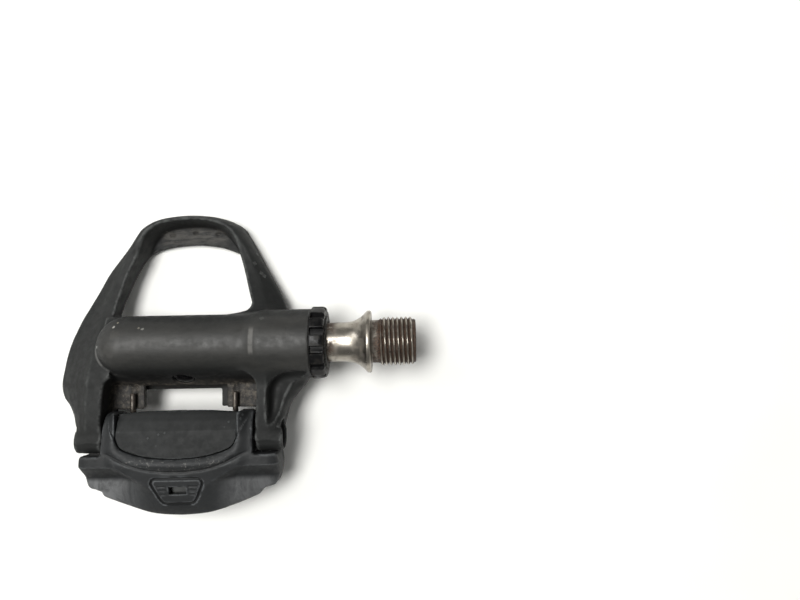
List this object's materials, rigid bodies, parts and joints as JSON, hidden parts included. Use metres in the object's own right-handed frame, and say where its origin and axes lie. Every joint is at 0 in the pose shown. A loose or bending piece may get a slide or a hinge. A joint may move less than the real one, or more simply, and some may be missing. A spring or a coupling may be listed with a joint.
{
  "type": "clipless pedal",
  "caption": "Road bicycle pedal with a hooked toe, a sprung rear claw for a shoe cleat and a threaded spindle on needle and ball bearings.",
  "frame": {"origin": "on the spindle axis at the shoulder face that meets the crank", "axes": "+X along the spindle towards the crank, +Y towards the toe of the shoe, +Z away from the shoe; the pedal lies cleat side down as it was pictured"},
  "size_m": [0.1072, 0.0892, 0.025],
  "materials": {
    "resin": "charcoal glass-filled resin, satin, lightly scuffed and dusty",
    "gloss_resin": "glossy black resin with grime in the notches",
    "cover_resin": "charcoal resin, a little smoother than the body",
    "label": "glossy black inlay, plain",
    "spindle_steel": "turned steel, satin, brown rust in the grooves",
    "bearing_steel": "ground bearing steel",
    "spring_steel": "oiled spring wire with a little rust",
    "stainless": "rubbed stainless sheet",
    "sleeve": "turned aluminium",
    "bush_resin": "brown bearing resin",
    "rubber": "black rubber",
    "indicator": "pale grey resin"
  },
  "bodies": {
    "pedal": {"pedal_body": "resin", "body_plate": "stainless", "plate_screws": "stainless", "round_label": "label", "lock_ring": "gloss_resin", "dust_seal": "rubber", "bearing_sleeve": "sleeve", "crank_bushing": "bush_resin", "needle_shell": "bearing_steel", "bearing_cup": "bearing_steel", "pivot_pin": "bearing_steel", "left_spring": "spring_steel", "right_spring": "spring_steel"},
    "spindle_unit": {"spindle": "spindle_steel", "bearing_cone": "bearing_steel", "lock_washer": "bearing_steel", "lock_nut": "spindle_steel"},
    "needle_set": {"needle_rollers": "bearing_steel"},
    "inner_row": {"inner_balls": "bearing_steel"},
    "outer_row": {"outer_balls": "bearing_steel"},
    "claw": {"rear_claw": "resin", "spring_cover": "cover_resin"},
    "tension_nut": {"spring_plate": "spring_steel", "tension_indicator": "indicator"},
    "adjuster": {"tension_bolt": "spindle_steel"}
  },
  "joints": [
    {"name": "spindle_spin", "type": "hinge", "parent": "pedal", "child": "spindle_unit", "pos_m": [0, 0, 0], "axis": [1, 0, 0], "continuous": true},
    {"name": "needle_orbit", "type": "hinge", "parent": "pedal", "child": "needle_set", "pos_m": [-0.046, 0, 0], "axis": [1, 0, 0], "continuous": true},
    {"name": "inner_row_orbit", "type": "hinge", "parent": "pedal", "child": "inner_row", "pos_m": [-0.0613, 0, 0], "axis": [1, 0, 0], "continuous": true},
    {"name": "outer_row_orbit", "type": "hinge", "parent": "pedal", "child": "outer_row", "pos_m": [-0.0673, 0, 0], "axis": [1, 0, 0], "continuous": true},
    {"name": "claw_pivot", "type": "hinge", "parent": "pedal", "child": "claw", "pos_m": [-0.056, -0.0273, -0.001], "axis": [-1, 0, 0], "range_deg": [0, 20], "stiffness_Nm_per_rad": 1.5, "springref_deg": -11.46, "deforming": ["left_spring", "right_spring"]},
    {"name": "bolt_turn", "type": "hinge", "parent": "claw", "child": "adjuster", "pos_m": [-0.056, -0.0406, -0.0032], "axis": [0, -0.766, -0.6428], "range_deg": [-722, 722]},
    {"name": "plate_travel", "type": "slide", "parent": "claw", "child": "tension_nut", "axis": [0, -0.766, -0.6428], "range_m": [-0.001, 0.001]}
  ],
  "couplings": [
    {"joint": "needle_orbit", "follows": "spindle_spin", "ratio": 0.42188},
    {"joint": "inner_row_orbit", "follows": "spindle_spin", "ratio": 0.37065},
    {"joint": "outer_row_orbit", "follows": "spindle_spin", "ratio": 0.37065},
    {"joint": "bolt_turn", "follows": "plate_travel", "rad_per_m": -12566}
  ]
}
